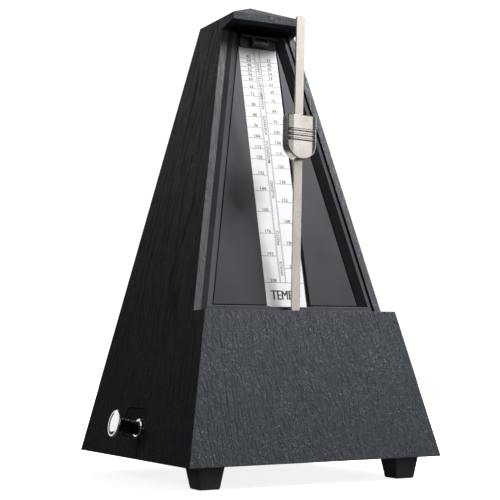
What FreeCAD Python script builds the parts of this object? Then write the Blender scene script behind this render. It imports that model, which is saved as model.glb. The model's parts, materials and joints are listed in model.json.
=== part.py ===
import FreeCAD, Part
import math
import os
import re

import Sketcher

# Pyramid metronome: moulded case, scale, wind-up movement, pendulum with sliding bob,
# and a bell with its pull-out beat selector.
#
# Frame: X to the right seen from the front, -Y to the front, +Z up. The origin is on the
# table, under the middle of the square base. Heights called "rise" start at the case's
# lower edge, which stands on the feet at foot_height. Lengths are in millimetres.

SIZES = {
    # case: a square frustum that leans in by `lean` per unit of height, under a hip roof
    "half_base": 60.0,
    "lean": 0.2159,
    "eave_rise": 196.9,
    "roof_rise": 7.6,
    "foot_height": 9.6,
    "wall": 3.4,
    "cavity_rise": 192.6,
    "ledge_rise": 62.6,
    "door_depth": 10.96,
    "soffit_back_rise": 191.0,
    "soffit_front_rise": 193.4,
    "fit_gap": 0.15,
    # scale panel, set between the side walls in the plane of the missing door's back
    "panel_thickness": 5.6,
    "panel_drop": 3.0,
    "panel_length": 130.8,
    "rail_width": 2.45,
    "rail_bevel": 3.4,
    "rail_fall": 0.8,
    "rail_crest": 0.15,
    "outline_width": 0.45,
    "outline_depth": 0.5,
    "recess_depth": 2.4,
    "recess_foot": 3.0,
    "channel_depth": 1.2,
    "plate_width": 19.6,
    "plate_length": 123.3,
    "plate_foot": 2.1,
    "plate_side_gap": 1.6,
    "plate_thickness": 0.8,
    "catch_half": 9.3,
    "catch_foot": 124.6,
    "catch_head": 130.0,
    # base and feet
    "base_thickness": 2.5,
    "base_half": 55.4,
    "foot_place": 47.0,
    "foot_top": 12.6,
    "foot_bottom": 9.4,
    "foot_round": 1.0,
    "boss_radius": 4.2,
    "boss_rise": 18.0,
    "screw_radius": 1.5,
    "screw_head_radius": 2.4,
    "slot_length": 34.0,
    "slot_width": 3.0,
    # movement frame: two plates square to X, held apart by bars and pillars
    "plate_inner": 18.5,
    "frame_plate": 1.5,
    "frame_front": -36.0,
    "frame_back": 42.0,
    "frame_low": 4.0,
    "frame_top": 56.0,
    "bar_side": 8.0,
    "bar_front": -34.0,
    "bar_back": 33.5,
    "pillar_radius": 2.5,
    "small_screw": 1.1,
    "small_head": 2.3,
    "small_head_depth": 1.4,
    # wheel train, module and tooth counts
    "module": 0.7,
    "barrel_teeth": 54,
    "second_pinion_teeth": 12,
    "second_wheel_teeth": 44,
    "escape_pinion_teeth": 10,
    "beat_wheel_teeth": 25,
    "beat_pinion_teeth": 10,
    "escape_y": -24.0,
    "escape_rise": 42.0,
    "escape_mesh_angle": 150.0,
    "barrel_mesh_angle": 4.0,
    "arbor_radius": 1.2,
    "fine_arbor_radius": 1.0,
    "running_gap": 0.05,
    "crown_radius": 7.5,
    "crown_rim": 1.3,
    "crown_teeth": 15,
    "crown_tip": 5.0,
    "crown_depth": 3.5,
    "barrel_radius": 14.5,
    "barrel_wall": 1.0,
    "winding_radius": 2.0,
    "ratchet_radius": 7.6,
    "ratchet_teeth": 24,
    # pendulum
    "pivot_y": -38.0,
    "rod_width": 4.0,
    "rod_thickness": 1.0,
    "rod_length": 150.4,
    "rod_tail": 35.0,
    "rod_lean": 1.78,
    "weight_radius": 37.0,
    "weight_inner": 18.0,
    "weight_spread": 80.0,
    "weight_thickness": 10.2,
    "pallet_reach": 4.5,
    "pallet_spread": 50.0,
    "bob_width": 14.5,
    "bob_height": 19.4,
    "bob_top": 105.5,
    "bob_front": 4.2,
    "bob_back": 1.0,
    "bob_round": 7.1,
    "bob_bevel_width": 2.5,
    "bob_bevel_depth": 1.0,
    "bob_wall": 1.4,
    "rib_radius": 0.55,
    "rib_pitch": 2.0,
    "rib_drop": 6.6,
    # beat selector on the left face
    "selector_y": -2.8,
    "selector_rise": 12.8,
    "selector_radius": 3.0,
    "selector_inside": 24.0,
    "selector_outside": 10.5,
    "selector_cap_radius": 5.9,
    "selector_cap_depth": 1.8,
    "ring_pitch": 1.35,
    "ring_depth": 0.4,
    "escutcheon_width": 23.0,
    "escutcheon_height": 13.0,
    "escutcheon_shift": 5.2,
    "escutcheon_lift": 2.2,
    # bell and hammer
    "bell_x": -36.0,
    "bell_y": 24.0,
    "bell_rise": 29.0,
    "bell_radius": 13.0,
    "bell_wall": 1.0,
    "hammer_y": 2.0,
    "hammer_rise": 53.0,
    # winding key on the right face
    "key_start": 55.8,
    "key_span": 25.0,
    "key_depth": 17.0,
    "key_thickness": 2.4,
}

document = FreeCAD.newDocument("metronome")
sheet = document.addObject("Spreadsheet::Sheet", "Sizes")
for row, (alias, value) in enumerate(SIZES.items(), start=1):
    sheet.set(f"A{row}", alias)
    sheet.set(f"B{row}", str(value))
    sheet.setAlias(f"B{row}", alias)
document.recompute()

nodes = []
X_AXIS = FreeCAD.Rotation(FreeCAD.Vector(0, 1, 0), 90)
Y_AXIS = FreeCAD.Rotation(FreeCAD.Vector(1, 0, 0), -90)
Z_AXIS = FreeCAD.Rotation()
SLANT = "(1 / sqrt(1 + lean * lean))"


def size(alias):
    """The number in the sheet's cell of that name."""
    return float(sheet.get(alias))


def linked(expression):
    """An expression whose bare names point at the sheet's cells."""
    def cell(word):
        name = word.group()
        return f"Sizes.{name}" if name in SIZES else name

    return re.sub(r"[a-z_]+", cell, str(expression))


def bind(item, **expressions):
    """Bind properties to expressions; a double underscore stands for a dot."""
    for name, expression in expressions.items():
        item.setExpression(name.replace("__", "."), linked(expression))
    return item


def put(item, x=0, y=0, z=0, turn=None):
    """Place an object: a fixed turn, and a position bound to the sheet."""
    if turn is not None:
        item.Placement = FreeCAD.Placement(FreeCAD.Vector(), turn)
    return bind(item, Placement__Base__x=x, Placement__Base__y=y, Placement__Base__z=z)


def node(label, item):
    """Name an object as one finished piece."""
    item.Label = label
    nodes.append(item)
    return item


# ---------------------------------------------------------------- primitives and booleans

def box(x, y, z, length, width, height, turn=None):
    item = document.addObject("Part::Box", "Block")
    bind(item, Length=length, Width=width, Height=height)
    return put(item, x, y, z, turn)


def cylinder(x, y, z, radius, height, axis=Z_AXIS):
    """A round bar that starts at a point and runs along +X, +Y or +Z."""
    item = document.addObject("Part::Cylinder", "Round")
    bind(item, Radius=radius, Height=height)
    return put(item, x, y, z, axis)


def frustum(low_half, low_rise, top_half, top_rise):
    """A square frustum about Z, between two heights above the case's lower edge."""
    item = document.addObject("Part::Wedge", "Frustum")
    bind(item, Xmin=f"-({low_half})", Xmax=low_half, Zmin=f"-({low_half})", Zmax=low_half)
    bind(item, X2min=f"-({top_half})", X2max=top_half, Z2min=f"-({top_half})", Z2max=top_half)
    bind(item, Ymin=low_rise, Ymax=top_rise)
    return put(item, 0, 0, "foot_height", FreeCAD.Rotation(FreeCAD.Vector(1, 0, 0), 90))


def fuse(*items):
    item = document.addObject("Part::MultiFuse", "Joined")
    item.Shapes = list(items)
    return item


def cut(base, *tools):
    item = document.addObject("Part::Cut", "Shaped")
    item.Base = base
    item.Tool = tools[0] if len(tools) == 1 else fuse(*tools)
    return item


def group(*items):
    """Separate identical solids kept together as one piece."""
    item = document.addObject("Part::Compound", "Set")
    item.Links = list(items)
    return item


def torus(x, y, z, ring, wire, axis=Z_AXIS):
    item = document.addObject("Part::Torus", "Ring")
    bind(item, Radius1=ring, Radius2=wire)
    return put(item, x, y, z, axis)


def rounded(item, radius, test):
    """Fillet the edges for which the test holds."""
    document.recompute()
    fillet = document.addObject("Part::Fillet", "Rounded")
    fillet.Base = item
    picked = [i for i, edge in enumerate(item.Shape.Edges, start=1) if test(edge)]
    fillet.Edges = [(i, size(radius), size(radius)) for i in picked]
    return fillet


# ---------------------------------------------------------------- bodies and sketches

def new_body():
    return document.addObject("PartDesign::Body", "Body")


def sketch_on(body, role, lift=0):
    """A sketch on one of the body's own origin planes, lifted along its normal."""
    plane = next(p for p in body.Origin.OriginFeatures if p.Role == role)
    sketch = body.newObject("Sketcher::SketchObject", "Outline")
    sketch.AttachmentSupport = [(plane, "")]
    sketch.MapMode = "FlatFace"
    return bind(sketch, AttachmentOffset__Base__z=lift)


def pin_point(sketch, geometry, end, x, y):
    """Tie one point of the sketch to a place given from the sketch's origin."""
    for kind, expression in (("DistanceX", x), ("DistanceY", y)):
        index = sketch.addConstraint(Sketcher.Constraint(kind, -1, 1, geometry, end, 1.0))
        name = f"{kind}_{index}"
        sketch.renameConstraint(index, name)
        sketch.setExpression(f"Constraints.{name}", linked(expression))


def add_polygon(sketch, points):
    """A closed outline whose corners are all tied to the sheet."""
    first = sketch.GeometryCount
    count = len(points)
    turns = [2 * math.pi * i / count for i in range(count)]
    rough = [FreeCAD.Vector(40 * math.cos(a), 40 * math.sin(a), 0) for a in turns]
    for i in range(count):
        sketch.addGeometry(Part.LineSegment(rough[i], rough[(i + 1) % count]), False)
    for i in range(count):
        after = first + (i + 1) % count
        sketch.addConstraint(Sketcher.Constraint("Coincident", first + i, 2, after, 1))
    for i, (x, y) in enumerate(points):
        pin_point(sketch, first + i, 1, x, y)


def add_circle(sketch, x, y, radius):
    index = sketch.addGeometry(Part.Circle(FreeCAD.Vector(0, 0, 0), FreeCAD.Vector(0, 0, 1), 1.0), False)
    pin_point(sketch, index, 3, x, y)
    constraint = sketch.addConstraint(Sketcher.Constraint("Radius", index, 1.0))
    sketch.renameConstraint(constraint, f"Radius_{constraint}")
    sketch.setExpression(f"Constraints.Radius_{constraint}", linked(radius))


def feature(body, kind, sketch, **expressions):
    """A feature of the body that reads one sketch."""
    document.recompute()
    item = body.newObject(f"PartDesign::{kind}", kind)
    item.Profile = sketch
    return bind(item, **expressions)


def pad(body, sketch, length, reverse=False):
    item = feature(body, "Pad", sketch, Length=length)
    item.Reversed = reverse
    return item


def pocket(body, sketch, length):
    return feature(body, "Pocket", sketch, Length=length)


def lathe(points):
    """A body turned about its own Z from an outline of radius and height."""
    body = new_body()
    sketch = sketch_on(body, "XZ_Plane")
    add_polygon(sketch, points)
    turned = feature(body, "Revolution", sketch)
    turned.ReferenceAxis = (sketch, ["V_Axis"])
    turned.Angle = 360
    return body


def flat_plate(role, points, thickness, holes=(), lift=0):
    """A flat body: an outline with round holes, padded along the plane's normal."""
    body = new_body()
    sketch = sketch_on(body, role, lift)
    add_polygon(sketch, points)
    for hole in holes:
        add_circle(sketch, *hole)
    pad(body, sketch, thickness)
    return body


def rectangle(left, low, right, top):
    return [(left, low), (right, low), (right, top), (left, top)]


# ---------------------------------------------------------------- toothed wheels

def tooth_ring(teeth, root, tip, root_share, tip_share, phase, skew=0.0):
    """Corners of a toothed outline; a tooth stands at the phase angle, in degrees."""
    step = 2 * math.pi / teeth
    corners = []
    for i in range(teeth):
        middle = math.radians(phase) + i * step
        for radius, share in (
            (root, -root_share),
            (tip, skew - tip_share),
            (tip, skew + tip_share),
            (root, root_share),
        ):
            angle = middle + share * step / 2
            corners.append(FreeCAD.Vector(radius * math.cos(angle), radius * math.sin(angle), 0))
    return corners


def toothed(corners, bore, width):
    """A toothed body about its own X axis."""
    body = new_body()
    sketch = sketch_on(body, "YZ_Plane")
    count = len(corners)
    lines = [Part.LineSegment(corners[i], corners[(i + 1) % count]) for i in range(count)]
    sketch.addGeometry(lines, False)
    add_circle(sketch, 0, 0, bore)
    pad(body, sketch, width)
    return body


def gear(teeth, bore, width, phase):
    """A spur gear of the train's module with working backlash."""
    pitch = size("module") * size(teeth) / 2
    root = pitch - 1.2 * size("module")
    tip = pitch + 0.8 * size("module")
    return toothed(tooth_ring(int(size(teeth)), root, tip, 0.58, 0.2, phase), bore, width)


# ---------------------------------------------------------------- places of the arbors

def centre_distance(one, other):
    return f"(module * ({one} + {other}) / 2)"


SECOND_GAP = centre_distance("second_wheel_teeth", "escape_pinion_teeth")
BARREL_GAP = centre_distance("barrel_teeth", "second_pinion_teeth")
BEAT_GAP = centre_distance("beat_wheel_teeth", "beat_pinion_teeth")
ESCAPE_Y = "escape_y"
ESCAPE_Z = "(foot_height + escape_rise)"
SECOND_Y = f"({ESCAPE_Y} - {SECOND_GAP} * cos(escape_mesh_angle * 1 deg))"
SECOND_Z = f"({ESCAPE_Z} - {SECOND_GAP} * sin(escape_mesh_angle * 1 deg))"
BARREL_Y = f"({SECOND_Y} + {BARREL_GAP} * cos(barrel_mesh_angle * 1 deg))"
BARREL_Z = f"({SECOND_Z} + {BARREL_GAP} * sin(barrel_mesh_angle * 1 deg))"
BEAT_Y = ESCAPE_Y
BEAT_Z = f"({ESCAPE_Z} + {BEAT_GAP})"


# ---------------------------------------------------------------- case

def inner_half(rise):
    return f"(half_base - wall - lean * ({rise}))"


def make_case_shell():
    """The moulded pyramid: side and back walls, roof, and the lower part of the front."""
    outer = frustum("half_base", "0", "half_base - lean * eave_rise", "eave_rise")
    roof = frustum("half_base - lean * eave_rise", "eave_rise", "0.4", "eave_rise + roof_rise")
    hollow = frustum(inner_half("-1"), "-1", inner_half("cavity_rise"), "cavity_rise")
    opening = new_body()
    sketch = sketch_on(opening, "YZ_Plane", "-half_base")
    ledge = "foot_height + ledge_rise"
    front = "-half_base - 20"
    add_polygon(
        sketch,
        [
            (front, ledge),
            ("-half_base + lean * ledge_rise + door_depth", ledge),
            ("-half_base + lean * soffit_back_rise + door_depth", "foot_height + soffit_back_rise"),
            ("-half_base + lean * soffit_front_rise", "foot_height + soffit_front_rise"),
            (front, "foot_height + soffit_front_rise"),
        ],
    )
    pad(opening, sketch, "2 * half_base")
    low = "foot_height + base_thickness"
    tall = "boss_rise - base_thickness"
    posts = []
    holes = []
    for side in ("-foot_place", "foot_place"):
        for depth in ("-foot_place", "foot_place"):
            posts.append(cylinder(side, depth, low, "boss_radius", tall))
            holes.append(cylinder(side, depth, f"{low} - 1", "screw_radius", "boss_rise - 4"))
            reach = "foot_place" if side == "foot_place" else "-foot_place - 8"
            posts.append(box(reach, f"{depth} - 1", low, 8, 2, tall))
            reach = "foot_place" if depth == "foot_place" else "-foot_place - 8"
            posts.append(box(f"{side} - 1", reach, low, 2, 8, tall))
    shell = fuse(cut(fuse(outer, roof), hollow, opening), *posts)
    key_hole = cylinder("half_base / 2", BARREL_Y, BARREL_Z, "5", "half_base", X_AXIS)
    recess = on_left_face(rounded_slab("escutcheon_width", "escutcheon_height", "1.2", "-1.2"))
    guide = on_left_face(upright_cylinder("-8", "selector_radius + 1", "16"))
    return node("case_shell", cut(shell, *holes, key_hole, recess, guide))


def front_turn():
    """Local X right, local Y up the slope, local Z out of the leaning front."""
    return FreeCAD.Rotation(FreeCAD.Vector(1, 0, 0), 90 - math.degrees(math.atan(size("lean"))))


def on_front(item):
    """Place a piece whose local origin is on the rail plane at the ledge."""
    y = "-half_base + lean * ledge_rise + door_depth"
    return put(item, 0, y, "foot_height + ledge_rise", front_turn())


def on_left_face(item):
    """Place a piece whose local Z is the left face's normal at the selector."""
    slope = math.atan(size("lean"))
    out = FreeCAD.Vector(-math.cos(slope), 0, math.sin(slope))
    up = FreeCAD.Vector(math.sin(slope), 0, math.cos(slope))
    turn = FreeCAD.Rotation(FreeCAD.Vector(0, -1, 0), up, out, "ZXY")
    x = "-half_base + lean * selector_rise"
    return put(item, x, "selector_y", "foot_height + selector_rise", turn)


def upright_cylinder(start, radius, length):
    """A round body along its own Z."""
    return lathe([(0, start), (radius, start), (radius, f"{start} + {length}"), (0, f"{start} + {length}")])


def rounded_slab(width, height, depth, start):
    """A slab with round corners, moved up and towards the back from the selector."""
    body = new_body()
    sketch = sketch_on(body, "XY_Plane", start)
    left = f"-escutcheon_shift - ({width}) / 2"
    right = f"-escutcheon_shift + ({width}) / 2"
    low = f"escutcheon_lift - ({height}) / 2"
    add_polygon(sketch, rectangle(left, low, right, f"{low} + {height}"))
    slab = pad(body, sketch, depth)
    document.recompute()
    corners = [
        f"Edge{i}"
        for i, edge in enumerate(slab.Shape.Edges, start=1)
        if abs(edge.Vertexes[0].Z - edge.Vertexes[-1].Z) > 0.1
    ]
    fillet = body.newObject("PartDesign::Fillet", "Fillet")
    fillet.Base = (slab, corners)
    fillet.Radius = 3
    return body


def trapezoid(low, top, inset):
    """A strip of the front between two slope lengths, kept inside the side walls."""
    fall = f"lean * {SLANT}"
    low_half = f"({inner_half('ledge_rise')} - fit_gap - {fall} * ({low}) - ({inset}))"
    top_half = f"({inner_half('ledge_rise')} - fit_gap - {fall} * ({top}) - ({inset}))"
    return [(f"-{low_half}", low), (low_half, low), (top_half, top), (f"-{top_half}", top)]


def make_scale_panel():
    """The inner frame: two ridged rails, a recessed panel, and the scale's channel."""
    body = new_body()
    slab = sketch_on(body, "XY_Plane", "-rail_fall")
    add_polygon(slab, trapezoid("-panel_drop", "panel_length", "0"))
    pad(body, slab, "panel_thickness - rail_fall", reverse=True)
    foot = sketch_on(body, "XY_Plane", "-rail_fall")
    add_polygon(foot, trapezoid("-panel_drop", "panel_length", "0"))
    crest = sketch_on(body, "XY_Plane")
    add_polygon(crest, trapezoid("-panel_drop", "panel_length", "rail_width"))
    document.recompute()
    ridge = body.newObject("PartDesign::AdditiveLoft", "Ridge")
    ridge.Profile = foot
    ridge.Sections = [crest]

    mouth = sketch_on(body, "XY_Plane")
    head = "panel_length + 1"
    add_polygon(mouth, trapezoid("recess_foot - 0.8", head, "rail_width + rail_crest"))
    floor = sketch_on(body, "XY_Plane", "-recess_depth")
    floor_inset = "rail_width + rail_crest + rail_bevel"
    add_polygon(floor, trapezoid("recess_foot", head, floor_inset))
    document.recompute()
    recess = body.newObject("PartDesign::SubtractiveLoft", "Recess")
    recess.Profile = mouth
    recess.Sections = [floor]

    outline = sketch_on(body, "XY_Plane", "-recess_depth")
    inner_foot = "recess_foot + outline_width"
    add_polygon(outline, trapezoid("recess_foot", "panel_length + 2", floor_inset))
    add_polygon(outline, trapezoid(inner_foot, head, f"{floor_inset} + outline_width"))
    pocket(body, outline, "outline_depth")

    # the channel is wider than the plate at its lower right, and opens through the sill
    low = "plate_foot - 0.1"
    high = "plate_foot + plate_length + 0.3"
    half = "(plate_width / 2 + 0.2)"
    channel = sketch_on(body, "XY_Plane", "-recess_depth")
    wide = f"{half} + plate_side_gap"
    add_polygon(channel, [(f"-{half}", low), (wide, low), (half, high), (f"-{half}", high)])
    pocket(body, channel, "channel_depth")
    sill = sketch_on(body, "XY_Plane")
    add_polygon(sill, rectangle(f"-{half}", low, wide, inner_foot))
    pocket(body, sill, "recess_depth + channel_depth")
    return node("scale_panel", on_front(body))


def make_scale_plate():
    half = "plate_width / 2"
    outline = rectangle(f"-{half}", "plate_foot", half, "plate_foot + plate_length")
    body = flat_plate("XY_Plane", outline, "plate_thickness", lift="-recess_depth - channel_depth")
    return node("scale_plate", on_front(body))


def make_rod_catch():
    """A bracket over the head of the plate, with a stepped hook for the stowed rod."""
    back = rectangle("-catch_half", "catch_foot", "catch_half", "catch_head")
    lip = rectangle("-catch_half", "catch_head - 1.3", "catch_half", "catch_head")
    rib = rectangle("-4.0", "catch_foot + 1.4", "-2.5", "catch_head - 1")
    step = [
        ("-4.0", "catch_foot + 0.5"),
        ("4.2", "catch_foot + 0.5"),
        ("4.2", "catch_foot + 2.9"),
        ("3.1", "catch_foot + 2.9"),
        ("3.1", "catch_foot + 1.7"),
        ("-4.0", "catch_foot + 1.7"),
    ]
    pieces = [
        on_front(flat_plate("XY_Plane", outline, depth, lift="-recess_depth"))
        for outline, depth in ((back, "0.6"), (lip, "2.6"), (rib, "3.0"), (step, "4.0"))
    ]
    return node("rod_catch", fuse(*pieces))


def make_base_plate():
    """The floor of the case: pads for the movement, a guide for the pull rod, sound slots."""
    side = "2 * base_half"
    floor = box("-base_half", "-base_half", "foot_height", side, side, "base_thickness")
    top = "foot_height + base_thickness"
    pads = []
    holes = []
    for x in ("-foot_place", "foot_place"):
        for y in ("-foot_place", "foot_place"):
            holes.append(cylinder(x, y, "foot_height - 1", "screw_radius", 5))
    pads.append(cylinder("0", "foot_place", top, 4, 7))
    holes.append(cylinder("0", "foot_place", "foot_height - 1", "screw_radius", 10.5))
    for x in ("-12", "12"):
        for y in ("bar_front + bar_side / 2", "bar_back + bar_side / 2"):
            pads.append(cylinder(x, y, top, 4, "frame_low - base_thickness"))
            holes.append(cylinder(x, y, "foot_height - 1", "small_screw", 6))
            holes.append(cylinder(x, y, "foot_height - 1", "small_head + 0.2", "1 + small_head_depth"))
    slots = [
        box("-slot_length / 2", f"{offset}", "foot_height - 1", "slot_length", "slot_width", 5)
        for offset in (-14, -6, 2, 10, 18)
    ]
    guide = box("-41", "selector_y - 6", top, 3, 12, 11.5)
    bore = on_left_face(upright_cylinder("-selector_inside - 8", "selector_radius + 0.08", "30"))
    return node("base_plate", cut(fuse(floor, guide, *pads), bore, *holes, *slots))


def make_feet():
    """Three tapered blocks, two in front and one in the middle of the rear edge."""
    for name, x, y in (
        ("foot_front_left", "-foot_place", "-foot_place"),
        ("foot_front_right", "foot_place", "-foot_place"),
        ("foot_rear", "0", "foot_place"),
    ):
        block = document.addObject("Part::Wedge", "FootBlock")
        bind(block, Xmin="-foot_bottom / 2", Xmax="foot_bottom / 2")
        bind(block, Zmin="-foot_bottom / 2", Zmax="foot_bottom / 2")
        bind(block, X2min="-foot_top / 2", X2max="foot_top / 2")
        bind(block, Z2min="-foot_top / 2", Z2max="foot_top / 2", Ymin=0, Ymax="foot_height")
        put(block, x, y, 0, FreeCAD.Rotation(FreeCAD.Vector(1, 0, 0), 90))
        soft = rounded(block, "foot_round", lambda edge: edge.BoundBox.ZMin < 0.01)
        hole = cylinder(x, y, -1, "screw_radius + 0.1", "foot_height + 2")
        sink = cylinder(x, y, -1, "screw_head_radius + 0.1", 5)
        node(name, cut(soft, hole, sink))


def screw(x, y, z, axis, radius, head_radius, head_depth, length, out):
    """A pan-head screw: the head's face is at the given point, and out says which way
    the head looks along the axis, -1 or 1."""
    along = {"x": (1, 0, 0), "y": (0, 1, 0), "z": (0, 0, 1)}[axis]
    turn = {"x": X_AXIS, "y": Y_AXIS, "z": Z_AXIS}[axis]
    places = {1: (f"-({head_depth})", f"-({head_depth}) - ({length})"), -1: ("0", f"({head_depth})")}
    head_start, shank_start = places[out]

    def at(start):
        return [f"{value} + ({start})" if step else value for value, step in zip((x, y, z), along)]

    head = cylinder(*at(head_start), head_radius, head_depth, turn)
    shank = cylinder(*at(shank_start), radius, length, turn)
    return fuse(head, shank)


def make_foot_screws():
    """Three go up through the feet, two hold the base plate's rear corners to the case."""
    screws = [
        screw(x, y, "2", "z", "screw_radius", "screw_head_radius", "2", "foot_height + 5", -1)
        for x, y in (("-foot_place", "-foot_place"), ("foot_place", "-foot_place"), ("0", "foot_place"))
    ]
    screws += [
        screw(x, "foot_place", "foot_height - 2", "z", "screw_radius", "screw_head_radius", "2", "9", -1)
        for x in ("-foot_place", "foot_place")
    ]
    return node("foot_screws", group(*screws))


# ---------------------------------------------------------------- beat selector

def make_selector():
    """The pull rod with a detent ring for each beat setting, its cap and its bearings."""
    slab = rounded_slab("escutcheon_width - 0.4", "escutcheon_height - 0.4", "1.0", "-1.2")
    bore = upright_cylinder("-3", "selector_radius + 0.08", "6")
    node("selector_escutcheon", cut(on_left_face(slab), on_left_face(bore)))

    inner = "selector_radius + 0.08"
    outer = "selector_radius + 1.2"
    crown = "selector_radius + 0.7"
    bezel = [(inner, "-0.2"), (outer, "-0.2"), (outer, "0.5"), (crown, "0.9"), (inner, "0.9")]
    node("selector_bezel", on_left_face(lathe(bezel)))

    profile = [(0, "-selector_inside"), ("selector_radius", "-selector_inside")]
    for i in range(6):
        start = f"1.3 + {i} * ring_pitch"
        profile.append(("selector_radius", start))
        profile.append(("selector_radius - ring_depth", f"{start} + 0.25"))
        profile.append(("selector_radius - ring_depth", f"{start} + 0.55"))
        profile.append(("selector_radius", f"{start} + 0.8"))
    profile += [("selector_radius", "selector_outside"), (0, "selector_outside")]
    node("selector_rod", on_left_face(lathe(profile)))

    back = "selector_outside"
    face = "selector_outside + selector_cap_depth"
    cap = [
        (0, back),
        ("selector_cap_radius - 0.5", back),
        ("selector_cap_radius", f"{back} + 0.5"),
        ("selector_cap_radius", f"{face} - 0.8"),
        ("selector_cap_radius - 0.7", f"{face} - 0.15"),
        ("selector_cap_radius - 2.2", face),
        (0, face),
    ]
    node("selector_cap", on_left_face(lathe(cap)))


# ---------------------------------------------------------------- winding key

def make_winding():
    """The key, its arbor and the ratchet wheel, which turn together."""
    bush = cylinder(49, BARREL_Y, BARREL_Z, 5, 6, X_AXIS)
    bush_bore = cylinder(48, BARREL_Y, BARREL_Z, "winding_radius + running_gap", 8, X_AXIS)
    node("key_bush", cut(bush, bush_bore))

    arbor = cylinder(-20.6, BARREL_Y, BARREL_Z, "winding_radius", "20.6 + key_start + 6", X_AXIS)
    node("winding_arbor", arbor)

    tip = size("ratchet_radius")
    ring = tooth_ring(int(size("ratchet_teeth")), tip - 1.2, tip, 0.9, 0.12, 0, 0.7)
    wheel = toothed(ring, "winding_radius", "1.8")
    node("ratchet_wheel", put(wheel, "plate_inner + frame_plate + 0.6", BARREL_Y, BARREL_Z))

    hub = cylinder("key_start", BARREL_Y, BARREL_Z, 4.2, 8, X_AXIS)
    low = f"{BARREL_Z} - key_thickness / 2"
    web = box("key_start + 3", f"{BARREL_Y} - 6", low, "key_depth - 6", 12, "key_thickness")
    lobe_x = "key_start + key_depth - 5"
    lobes = [
        cylinder(lobe_x, f"{BARREL_Y} + ({side} * (key_span / 2 - 6))", low, 6, "key_thickness")
        for side in (-1, 1)
    ]
    socket = cylinder("key_start - 1", BARREL_Y, BARREL_Z, "winding_radius", 7, X_AXIS)
    node("winding_key", cut(fuse(hub, web, *lobes), socket))


# ---------------------------------------------------------------- movement frame

def make_frame_plates():
    height = "frame_top - frame_low"
    start = "foot_height + frame_low"
    drill = [
        (BARREL_Y, BARREL_Z, "winding_radius + running_gap"),
        (SECOND_Y, SECOND_Z, "arbor_radius + running_gap"),
        (BEAT_Y, BEAT_Z, "fine_arbor_radius + running_gap"),
    ]
    for name, x, extra in (
        ("left_plate", "-plate_inner - frame_plate", []),
        ("right_plate", "plate_inner", [(ESCAPE_Y, ESCAPE_Z, "fine_arbor_radius + running_gap")]),
    ):
        holes = list(drill) + extra
        holes += [(y, z, "small_screw") for y, z in FRAME_FIXINGS]
        outline = rectangle("frame_front", start, "frame_back", f"{start} + {height}")
        node(name, flat_plate("YZ_Plane", outline, "frame_plate", holes, lift=x))


BAR_Z = "foot_height + frame_low + bar_side / 2"
FRAME_FIXINGS = [
    ("bar_front + bar_side / 2", BAR_Z),
    ("bar_back + bar_side / 2", BAR_Z),
    ("-8", "foot_height + 52"),
    ("37", "foot_height + 52"),
]


def make_spacers():
    """Two square bars below and two round pillars above hold the plates apart."""
    span = "2 * plate_inner"
    bars = []
    for y in ("bar_front", "bar_back"):
        bar = box("-plate_inner", y, "foot_height + frame_low", span, "bar_side", "bar_side")
        holes = [
            cylinder(x, f"{y} + bar_side / 2", "foot_height", "small_screw", "frame_low + 5")
            for x in ("-12", "12")
        ]
        ends = [
            cylinder(start, f"{y} + bar_side / 2", BAR_Z, "small_screw", 5, X_AXIS)
            for start in ("-plate_inner - 1", "plate_inner - 4")
        ]
        bars.append(cut(bar, *holes, *ends))
    node("frame_bars", group(*bars))
    pillars = []
    for y, z in FRAME_FIXINGS[2:]:
        pillar = cylinder("-plate_inner", y, z, "pillar_radius", span, X_AXIS)
        ends = [
            cylinder(start, y, z, "small_screw", 5, X_AXIS)
            for start in ("-plate_inner - 1", "plate_inner - 4")
        ]
        pillars.append(cut(pillar, *ends))
    node("frame_pillars", group(*pillars))


def make_frame_screws():
    screws = []
    for y, z in FRAME_FIXINGS:
        left = "-plate_inner - frame_plate - small_head_depth"
        right = "plate_inner + frame_plate + small_head_depth"
        reach = "frame_plate + 3.5"
        screws.append(screw(left, y, z, "x", "small_screw", "small_head", "small_head_depth", reach, -1))
        screws.append(screw(right, y, z, "x", "small_screw", "small_head", "small_head_depth", reach, 1))
    node("frame_screws", group(*screws))
    uprights = [
        screw(x, y, "foot_height", "z", "small_screw", "small_head", "small_head_depth", "7", -1)
        for x in ("-12", "12")
        for y in ("bar_front + bar_side / 2", "bar_back + bar_side / 2")
    ]
    node("movement_screws", group(*uprights))


def make_bearings():
    """Straps that carry the pendulum's arbor, and the bridge of the escape arbor."""
    hole = ("0", ESCAPE_Z, "arbor_radius + running_gap")
    low = f"{ESCAPE_Z} - 5"
    high = f"{ESCAPE_Z} + 5"
    strap = rectangle("-plate_inner", low, "plate_inner", high)
    front = flat_plate("XZ_Plane", strap, "frame_plate", [hole])
    node("front_bearing", put(front, 0, "-33.5", 0))
    low = f"{ESCAPE_Z} - 3.5"
    rear = flat_plate("XZ_Plane", rectangle("-plate_inner", low, "4", high), "frame_plate", [hole])
    node("rear_bearing", put(rear, 0, "-10.5", 0))

    holes = [
        (ESCAPE_Y, ESCAPE_Z, "fine_arbor_radius + running_gap"),
        (BEAT_Y, BEAT_Z, "fine_arbor_radius + running_gap"),
    ]
    outline = rectangle("-33.3", f"{ESCAPE_Z} - 11", "-13.5", f"{ESCAPE_Z} + 15")
    node("escape_bridge", flat_plate("YZ_Plane", outline, "1.2", holes, lift="9.3"))
    posts = [
        cylinder("10.5", y, f"{ESCAPE_Z} + {rise}", 1.2, "plate_inner - 10.5", X_AXIS)
        for y, rise in ((-31.8, -9), (-31.8, 11), (-15.8, 12))
    ]
    node("bridge_posts", group(*posts))


# ---------------------------------------------------------------- train

def arbor(name, start, y, z, radius, length):
    return node(name, cylinder(start, y, z, radius, length, X_AXIS))


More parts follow.
